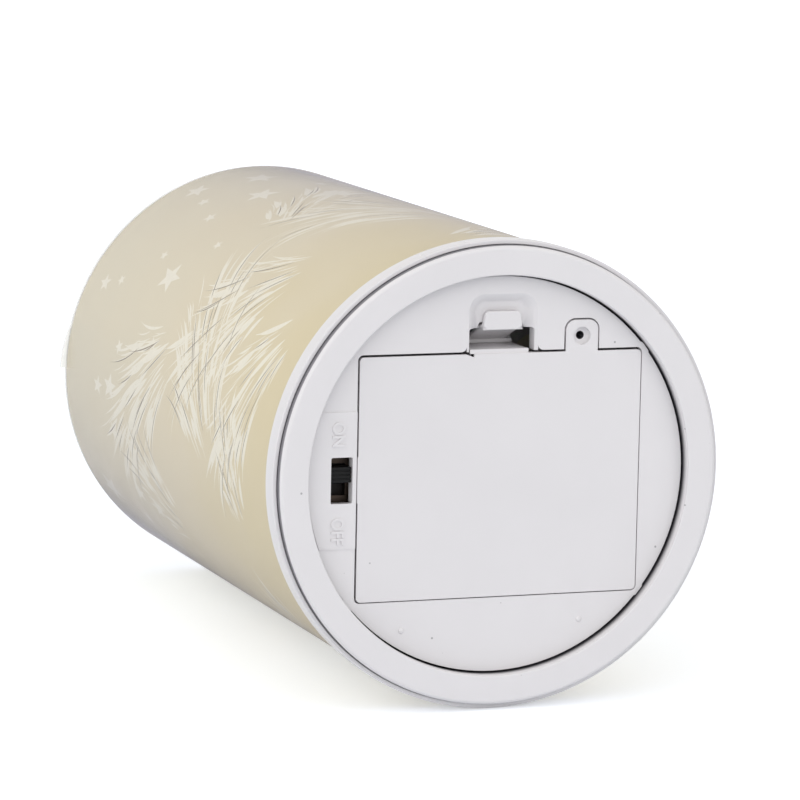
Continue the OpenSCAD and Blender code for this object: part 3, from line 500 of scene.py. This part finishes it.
def softened(node, name, width, below, reshape=None):
    """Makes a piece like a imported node, with the radius that its mould leaves on sharp edges.
    below keeps this to the edges under that height, and width is in millimetres. reshape moves a
    point of the mesh first. Larger faces lead the shading, so flats stay flat beside the radii."""
    bm = bmesh.new()
    bm.from_mesh(NODES[node].data)
    bmesh.ops.remove_doubles(bm, verts=bm.verts, dist=WELD)
    bmesh.ops.dissolve_limit(bm, angle_limit=math.radians(1), verts=bm.verts, edges=bm.edges)
    bmesh.ops.dissolve_degenerate(bm, dist=width * 0.2 * MM, edges=bm.edges)
    for vert in bm.verts if reshape else ():
        reshape(vert.co)
    sharp = [edge for edge in bm.edges
             if edge.is_manifold and edge.calc_face_angle() > math.radians(SHARP)
             and (below is None or max(v.co.z for v in edge.verts) < below * MM)]
    bmesh.ops.bevel(bm, geom=sharp, offset=width * MM, offset_type="OFFSET", affect="EDGES",
                    segments=3, profile=0.5, material=-1, clamp_overlap=True)
    bmesh.ops.triangulate(bm, faces=[face for face in bm.faces if len(face.verts) > 4])
    piece = make_piece(bm, name, node, sharp=50)
    piece.modifiers.new("Weighted Normal", "WEIGHTED_NORMAL").keep_sharp = True


def revolved(profile, steps=256):
    """A bmesh of an (r, z) outline in millimetres turned round the lamp's axis."""
    bm = bmesh.new()
    verts = [bm.verts.new((r * MM, 0, z * MM)) for r, z in profile]
    edges = [bm.edges.new((a, b)) for a, b in zip(verts, verts[1:] + verts[:1])]
    bmesh.ops.spin(bm, geom=verts + edges, cent=(0, 0, 0), axis=(0, 0, 1), angle=2 * math.pi,
                   steps=steps, use_merge=True)
    bmesh.ops.recalc_face_normals(bm, faces=bm.faces)
    return bm


def quarter(r, z, radius, start, turn=90, steps=6):
    """Points of a quarter round of an (r, z) outline, from the angle start in degrees."""
    angles = [math.radians(start + turn * i / steps) for i in range(steps + 1)]
    return [(r + radius * math.cos(a), z + radius * math.sin(a)) for a in angles]


# ---- shade, sleeve and cap ----

SHADE_WALL = 1.3
SHADE_RIM_R = 0.35
FILM = 0.12
FILM_R = SLEEVE_R + 0.03
FILM_Z = (SHADE_Z0 + 0.2, SHADE_Z1 - 0.1)


class LAMP_OT_shade(bpy.types.Operator):
    """Turns the clear shade with its softened rims, and the printed film inside it"""
    bl_idname = "lamp.shade"
    bl_label = "Shade"

    def execute(self, context):
        inner, rim = SHADE_R - SHADE_WALL, SHADE_RIM_R
        wall = (quarter(SHADE_R - rim, SHADE_Z0 + rim, rim, -90)
                + quarter(SHADE_R - rim, SHADE_Z1 - rim, rim, 0)
                + [(inner, SHADE_Z1), (inner, SHADE_Z0)])
        make_piece(revolved(wall), "clear_shade", "outer_shade")
        low, top = FILM_Z
        film = [(FILM_R, low), (FILM_R, top), (FILM_R - FILM, top), (FILM_R - FILM, low)]
        make_piece(revolved(film), "film_sleeve", "printed_sleeve")
        return {"FINISHED"}


CAP_RIM_R = 1.1
CAP_CORNER_R = 0.9
SKIRT = 1.3
SKIRT_R = FILM_R - FILM - 0.02
TAB_ARC = (math.radians(181), math.radians(193))
TAB_OUT, TAB_IN, TAB_HIGH = 1.2, 1.0, 1.0
TAB_STEPS = 12


class LAMP_OT_cap(bpy.types.Operator):
    """Turns the clear top cap with its skirt, and adds the lift tab at its rim"""
    bl_idname = "lamp.cap"
    bl_label = "Top cap"

    def execute(self, context):
        outline = ([(0, CAP_Z1), (0, SHADE_Z1)]
                   + quarter(SKIRT_R - SKIRT - CAP_CORNER_R, SHADE_Z1 - CAP_CORNER_R, CAP_CORNER_R,
                             90, -90)
                   + quarter(SKIRT_R - SKIRT / 2, CAP_Z0 + SKIRT / 2, SKIRT / 2, 180, 180)
                   + [(SKIRT_R, SHADE_Z1), (SHADE_R, SHADE_Z1)]
                   + quarter(SHADE_R - CAP_RIM_R, CAP_Z1 - CAP_RIM_R, CAP_RIM_R, 0))
        make_piece(revolved(outline), "clear_cap", "top_cap")
        start, end = TAB_ARC
        ring = []
        for i in range(TAB_STEPS + 1):
            t = i / TAB_STEPS
            angle = end + (start - end) * t
            ring.append((SHADE_R + TAB_OUT * math.sin(math.pi / 2 * t), angle))
        for i in range(TAB_STEPS + 1):
            ring.append((SHADE_R - TAB_IN, start + (end - start) * i / TAB_STEPS))
        bm = bmesh.new()
        flat = [(reach * math.cos(angle), reach * math.sin(angle)) for reach, angle in ring]
        face = bm.faces.new([bm.verts.new((x * MM, y * MM, SHADE_Z1 * MM)) for x, y in flat])
        made = bmesh.ops.extrude_face_region(bm, geom=[face])
        bmesh.ops.translate(bm, vec=(0, 0, TAB_HIGH * MM),
                            verts=[v for v in made["geom"] if isinstance(v, bmesh.types.BMVert)])
        bmesh.ops.recalc_face_normals(bm, faces=bm.faces)
        make_piece(bm, "cap_tab", "top_cap", replaced=False)
        return {"FINISHED"}


# ---- the base, its covers and the switch ----

COLLAR_R0 = FOOT_R + 0.15
COLLAR_LOW = COLLAR_Z0 + 0.5
SEAT_R, SEAT = SHADE_R - 2.4, 0.6  # the ledge inside the collar that the shade stands on
WORN_EDGE = 0.25
# Each moulding's piece, the radius of its edges, and the height that they are softened up to.
MOULDINGS = (
    ("bottom_cover", "recessed_cover", 0.2, 3.6),
    ("battery_door", "door_panel", 0.2, 3.4),
    ("door_latch", "latch_pad", 0.3, 4),
    ("switch_knob", "slide_knob", 0.1, None),
)


def narrow_chamfer(point):
    """Draws the outer edge of the recess's chamfer in, to the small break of a worn edge."""
    reach = math.hypot(point.x, point.y) / MM
    if point.z < 0.05 * MM and RECESS_R + 0.3 < reach < RECESS_R + 0.9:
        point.xy *= (RECESS_R + WORN_EDGE) / reach


class LAMP_OT_base(bpy.types.Operator):
    """Turns the collar, and softens the edges of the ring, the covers, the latch and the knob"""
    bl_idname = "lamp.base"
    bl_label = "Base"

    def execute(self, context):
        wall, seat = SHADE_R + 0.05, SHADE_Z0 - 0.02
        outline = (quarter(COLLAR_R0 + 0.1, COLLAR_LOW + 0.1, 0.1, 180)
                   + quarter(COLLAR_R - 0.25, COLLAR_LOW + 0.25, 0.25, -90)
                   + quarter(COLLAR_R - 0.3, COLLAR_Z1 - 0.3, 0.3, 0)
                   + [(wall, COLLAR_Z1), (wall, seat), (SEAT_R, seat), (SEAT_R, seat - SEAT),
                      (COLLAR_R0, seat - SEAT)])
        make_piece(revolved(outline), "collar_ring", "shade_collar")
        softened("base_housing", "foot_ring", 0.2, 4, reshape=narrow_chamfer)
        for moulding in MOULDINGS:
            softened(*moulding)
        return {"FINISHED"}


LETTER_X = (-37.6, -34.6)
LETTER_RISE = 0.3
LETTER_ROOT = 0.05
WORDS = (("ON", -12.7, -7.4), ("OFF", 8.0, 13.8))  # with the Y that each starts and ends at
PIPS = ((-21.2, 33.2), (19.9, 32.6))
PIP_R = 0.7


class LAMP_OT_lettering(bpy.types.Operator):
    """Raises ON and OFF beside the switch window, and the small pips that the mould leaves"""
    bl_idname = "lamp.lettering"
    bl_label = "Lettering"

    def execute(self, context):
        for word in WORDS:
            raised_word(*word)
        bm = bmesh.new()
        flat = Matrix.Diagonal((1, 1, 0.5, 1))
        for x, y in PIPS:
            place = Matrix.Translation(Vector((x, y, COVER_FACE_Z)) * MM) @ flat
            bmesh.ops.create_uvsphere(bm, u_segments=24, v_segments=12, radius=PIP_R * MM,
                                      matrix=place)
        make_piece(bm, "mould_pips", "bottom_cover", replaced=False)
        return {"FINISHED"}


def raised_word(word, start, end):
    """A word on the switch pad, read towards +Y with the tops of its letters towards +X. It is
    drawn at the font's own size, a little bold and with broken edges, and then fitted."""
    text = bpy.data.curves.new(word, "FONT")
    text.body = word
    text.extrude = 0.5
    text.offset = 0.012
    text.bevel_depth = 0.02
    drawn = bpy.data.objects.new(word, text)
    bpy.context.scene.collection.objects.link(drawn)
    bpy.context.view_layer.update()
    seen = drawn.evaluated_get(bpy.context.evaluated_depsgraph_get())
    mesh = bpy.data.meshes.new_from_object(seen)
    bpy.data.objects.remove(drawn)
    bpy.data.curves.remove(text)
    bm = bmesh.new()
    bm.from_mesh(mesh)
    bpy.data.meshes.remove(mesh)
    bmesh.ops.remove_doubles(bm, verts=bm.verts, dist=1e-4)
    low = Vector([min(v.co[i] for v in bm.verts) for i in range(3)])
    high = Vector([max(v.co[i] for v in bm.verts) for i in range(3)])
    for vert in bm.verts:
        u, v, w = [(vert.co[i] - low[i]) / (high[i] - low[i]) for i in range(3)]
        x = LETTER_X[0] + (LETTER_X[1] - LETTER_X[0]) * v
        y = start + (end - start) * u
        z = PAD_Z + LETTER_ROOT - (LETTER_RISE + LETTER_ROOT) * w
        vert.co = Vector((x, y, z)) * MM
    bmesh.ops.recalc_face_normals(bm, faces=bm.faces)
    make_piece(bm, "word_" + word.lower(), "bottom_cover", replaced=False)


# ---- the print ----

SEED = 11
PALE_R = FILM_R + 0.02
PEN_R = PALE_R + 0.015
INK = 0.008
BEND_MM = 2.5  # the widest flat strip of ink on the round sleeve
GIRTH = 2 * math.pi * PALE_R
STAR_ZONE = (96, 160)
STAR_SIZES = (1.5, 1.9, 2.4, 3.3, 4.2)
STAR_STRETCH = 1.6
STAR_WAIST = 0.42
STAR_ROOM = 1.5
PLUME_ROWS = (26, 54, 84)
ROW_DRIFT = 8
PLUME_LEAN = (25, 65)  # degrees off upright, to either side
BARB_GAP = 0.48
BARB_WIDTHS = (0.4, 0.6, 0.8, 1.1, 2.3)  # shares of the usual stroke
PEN_EVERY = 7
STROKE_STEPS = 7


def flat_star(bm, x, z, size, turn):
    """A five-pointed star in the unrolled sheet."""
    ring = []
    for i in range(10):
        angle = turn + math.pi * i / 5
        reach = size if i % 2 == 0 else size * STAR_WAIST
        ring.append(bm.verts.new((x + reach * math.cos(angle), 0,
                                  z + STAR_STRETCH * reach * math.sin(angle))))
    centre = bm.verts.new((x, 0, z))
    for a, b in zip(ring, ring[1:] + ring[:1]):
        bm.faces.new((centre, a, b))


def flat_stroke(bm, start, heading, length, width, bow):
    """A brush stroke that tapers to both ends and bows to one side."""
    rails = []
    for i in range(STROKE_STEPS + 1):
        t = i / STROKE_STEPS
        angle = heading + bow * (t - 0.5)
        along = Vector((math.cos(angle), 0, math.sin(angle)))
        across = Vector((-along.z, 0, along.x))
        centre = start + along * (length * t)
        half = width / 2 * max(0.04, math.sin(math.pi * min(t * 1.1 + 0.02, 1))) ** 0.7
        rails.append((bm.verts.new(centre + across * half), bm.verts.new(centre - across * half)))
    for (a, b), (c, d) in zip(rails, rails[1:]):
        bm.faces.new((a, c, d, b))


def flat_plume(pale, pen, root, lean, length, width, draw):
    """A plume: rows of near-parallel pale strokes that open out, with pen lines between them.
    The strokes start along the first three quarters of the stem, furthest from it near their
    middle, and lean out by up to about 0.4 radians, most at the root."""
    along = Vector((math.cos(lean), 0, math.sin(lean)))
    across = Vector((-along.z, 0, along.x))
    barbs = int(length / (BARB_GAP * MM))
    for i in range(barbs):
        t = i / barbs
        side = draw.uniform(-1, 1)
        half = length * 0.25 * math.sin(math.pi * (0.2 + 0.65 * t))
        point = root + along * (length * 0.75 * t) + across * (half * side)
        heading = lean + 0.4 * side * (1 - 0.5 * t) + draw.uniform(-0.08, 0.08)
        reach = length * draw.uniform(0.12, 0.34)
        bow = 0.25 * side
        flat_stroke(pale, point, heading, reach, width * draw.choice(BARB_WIDTHS), bow)
        if i % PEN_EVERY == PEN_EVERY // 2:
            flat_stroke(pen, point, heading, reach * 1.1, width * 0.45, bow)


def wrap_print(bm, name, surface, radius):
    """Cuts the flat sheet into strips narrow enough to bend, and wraps it on the sleeve."""
    strips = int(GIRTH / BEND_MM)
    for i in range(-2, strips + 3):
        bmesh.ops.bisect_plane(
            bm, geom=bm.verts[:] + bm.edges[:] + bm.faces[:], dist=1e-7,
            plane_co=(i * GIRTH * MM / strips, 0, 0), plane_no=(1, 0, 0))
    for vert in bm.verts:
        angle = vert.co.x / (PALE_R * MM)
        vert.co = (radius * MM * math.cos(angle), radius * MM * math.sin(angle), vert.co.z)
    bm.normal_update()
    for face in bm.faces:
        centre = face.calc_center_median()
        if face.normal.dot(Vector((centre.x, centre.y, 0))) < 0:
            face.normal_flip()
    bmesh.ops.solidify(bm, geom=bm.faces[:], thickness=INK * MM)
    make_piece(bm, name, "printed_sleeve", surface, 60, replaced=False)


class LAMP_OT_print(bpy.types.Operator):
    """Prints stars and plumes on the sleeve, in a layout drawn from a fixed seed"""
    bl_idname = "lamp.print"
    bl_label = "Print"

    def execute(self, context):
        sizes = context.scene.lamp_sizes
        colours = context.scene.lamp_colours
        draw = random.Random(SEED)
        pale, pen = bmesh.new(), bmesh.new()
        for i in range(sizes.plume_count):
            x = GIRTH * MM * (i + 0.35 * draw.uniform(-1, 1)) / sizes.plume_count
            row = PLUME_ROWS[i % len(PLUME_ROWS)]
            z = (row + draw.uniform(-ROW_DRIFT, ROW_DRIFT)) * MM
            lean = math.radians(90 + draw.choice((-1, 1)) * draw.uniform(*PLUME_LEAN))
            length = sizes.plume_length * draw.uniform(0.5, 1.1)
            flat_plume(pale, pen, Vector((x, 0, z)), lean, length, sizes.stroke_width, draw)
        placed = []
        while len(placed) < sizes.star_count:
            x, z = draw.uniform(0, GIRTH * MM), draw.uniform(*STAR_ZONE) * MM
            size = draw.choice(STAR_SIZES) * MM
            if all(math.hypot(x - p[0], z - p[1]) > (size + p[2] + MM) * STAR_ROOM for p in placed):
                placed.append((x, z, size))
                flat_star(pale, x, z, size, draw.uniform(0, math.tau))
        cream = printing_ink("Ink, cream screen print", colours.ink, 1.2)
        wrap_print(pale, "print_pale", cream, PALE_R)
        wrap_print(pen, "print_pen", printing_ink("Ink, tan pen line", colours.pen, 1.5), PEN_R)
        return {"FINISHED"}


# ---- stage ----

# The camera that the photograph's outlines fit.
EYE = Vector((-338.385, -159.084, -876.757)) * MM
AIM = Vector((-1.987, -7.808, 60.0)) * MM
ROLL = math.radians(1.13)
LENS_MM = 199.69
SENSOR_MM = 36
# Each lamp's name, where it shines from, how many degrees wide it is, its strength, and whether
# the shade mirrors it.
LAMPS = (
    ("key", (-0.4, -0.3, -1.0), 130, 1.13, True),
    ("side", (-1.0, -0.1, -0.2), 100, 1.0, True),
    ("fill", (0.5, -0.3, -1.0), 110, 0.46, True),
    ("back", (0.05, -0.05, 1.0), 20, 1.3, False),
)
SKY = 0.58
FLOOR_LIFT = 0.41
FLOOR_HALF_M = 6


def make_camera():
    """Sets the camera, level with the floor but for a small roll."""
    data = bpy.data.cameras.new("camera")
    data.lens = LENS_MM
    data.sensor_width = SENSOR_MM
    camera = bpy.data.objects.new("camera", data)
    bpy.context.scene.collection.objects.link(camera)
    look = (AIM - EYE).normalized()
    side = look.cross(Vector((0, -1, 0))).normalized()
    up = side.cross(look)
    level = Matrix((side, up, -look)).transposed().to_quaternion()
    camera.rotation_mode = "QUATERNION"
    camera.rotation_quaternion = Quaternion(look, -ROLL) @ level
    camera.location = EYE
    bpy.context.scene.camera = camera


def soft_lamp(name, place, spread, strength, glare):
    """A far, wide studio lamp, which lights the floor evenly. Without glare it isn't mirrored."""
    data = bpy.data.lights.new(name, "SUN")
    data.angle = math.radians(spread)
    data.energy = strength
    lamp = bpy.data.objects.new(name, data)
    bpy.context.scene.collection.objects.link(lamp)
    lamp.location = place
    lamp.visible_glossy = glare
    lamp.rotation_euler = (-Vector(place)).to_track_quat("-Z", "Y").to_euler()


def studio_floor():
    """White paper floor. Its front shows white with the lamp's shadow, at half that glow in
    reflections, and its back is clear."""
    made, tree = new_material("Paper, white studio floor")
    side = add(tree, "NewGeometry").outputs["Backfacing"]
    path = add(tree, "LightPath")
    seen = add(tree, "Math", {0: path.outputs["Is Glossy Ray"], 1: 0.5,
                              2: path.outputs["Is Camera Ray"]}, operation="MULTIPLY_ADD")
    place = add(tree, "TexCoord").outputs["Object"]
    fibre = add(tree, "TexNoise", {"Vector": place, "Scale": per(30), "Detail": 2.0})
    tone = add(tree, "Mix", {0: fibre.outputs["Fac"], 6: linear("#E9EDF4"), 7: linear("#ECF0F6")},
               data_type="RGBA").outputs[2]
    paper = add(tree, "BsdfDiffuse", {"Color": tone})
    lift = add(tree, "Math", {0: seen.outputs[0], 1: FLOOR_LIFT}, operation="MULTIPLY")
    glow = add(tree, "Emission", {"Color": (1, 1, 1, 1), "Strength": lift.outputs[0]})
    front = add(tree, "AddShader", {0: paper.outputs[0], 1: glow.outputs[0]})
    back = add(tree, "BsdfTransparent")
    mixed = add(tree, "MixShader", {0: side, 1: front.outputs[0], 2: back.outputs[0]})
    add(tree, "OutputMaterial", {"Surface": mixed.outputs[0]})
    return made


class LAMP_OT_stage(bpy.types.Operator):
    """Sets the floor, soft lamps, white surroundings and camera"""
    bl_idname = "lamp.stage"
    bl_label = "Stage"

    def execute(self, context):
        make_camera()
        bm = bmesh.new()
        turn = Matrix.Translation((0, context.scene.lamp_sizes.floor_y, 0)) @ Matrix.Rotation(
            math.radians(90), 4, "X")
        bmesh.ops.create_grid(bm, x_segments=1, y_segments=1, size=FLOOR_HALF_M, matrix=turn)
        mesh = bpy.data.meshes.new("floor")
        bm.to_mesh(mesh)
        bm.free()
        floor = bpy.data.objects.new("floor", mesh)
        mesh.materials.append(studio_floor())
        context.scene.collection.objects.link(floor)
        for lamp in LAMPS:
            soft_lamp(*lamp)
        world = bpy.data.worlds.new("studio")
        context.scene.world = world
        world.use_nodes = True
        tree = world.node_tree
        tree.nodes.clear()
        path = add(tree, "LightPath")
        direct = add(tree, "Math", {0: path.outputs["Is Camera Ray"],
                                    1: path.outputs["Is Glossy Ray"]}, operation="MAXIMUM")
        shown = add(tree, "Math", {0: direct.outputs[0],
                                   1: path.outputs["Is Transmission Ray"]}, operation="MAXIMUM")
        strength = add(tree, "MapRange", {"Value": shown.outputs[0], "To Min": SKY, "To Max": 1.0})
        sky = add(tree, "Background", {"Color": (1, 1, 1, 1),
                                       "Strength": strength.outputs["Result"]})
        add(tree, "OutputWorld", {"Surface": sky.outputs[0]})
        context.scene.view_settings.view_transform = "Standard"
        return {"FINISHED"}


class LAMP_PT_panel(bpy.types.Panel):
    """Lists the lamp's pieces, sizes and colours"""
    bl_idname = "LAMP_PT_panel"
    bl_label = "Motion Lamp"
    bl_space_type = "VIEW_3D"
    bl_region_type = "UI"
    bl_category = "Lamp"

    def draw(self, context):
        for operator in OPERATORS:
            self.layout.operator(operator.bl_idname)
        for group in (context.scene.lamp_sizes, context.scene.lamp_colours):
            for name in group.__annotations__:
                self.layout.prop(group, name)


GROUPS = (LampColours, LampSizes)
OPERATORS = (LAMP_OT_nodes, LAMP_OT_shade, LAMP_OT_cap, LAMP_OT_base, LAMP_OT_lettering,
             LAMP_OT_print, LAMP_OT_stage)


def register():
    for kind in (*GROUPS, *OPERATORS, LAMP_PT_panel):
        bpy.utils.register_class(kind)
    bpy.types.Scene.lamp_colours = PointerProperty(type=LampColours)
    bpy.types.Scene.lamp_sizes = PointerProperty(type=LampSizes)


def unregister():
    del bpy.types.Scene.lamp_sizes
    del bpy.types.Scene.lamp_colours
    for kind in reversed((*GROUPS, *OPERATORS, LAMP_PT_panel)):
        bpy.utils.unregister_class(kind)


def main():
    register()
    bpy.ops.lamp.nodes()
    bpy.ops.lamp.shade()
    bpy.ops.lamp.cap()
    bpy.ops.lamp.base()
    bpy.ops.lamp.lettering()
    bpy.ops.lamp.print()
    bpy.ops.lamp.stage()


if __name__ == "__main__":
    main()
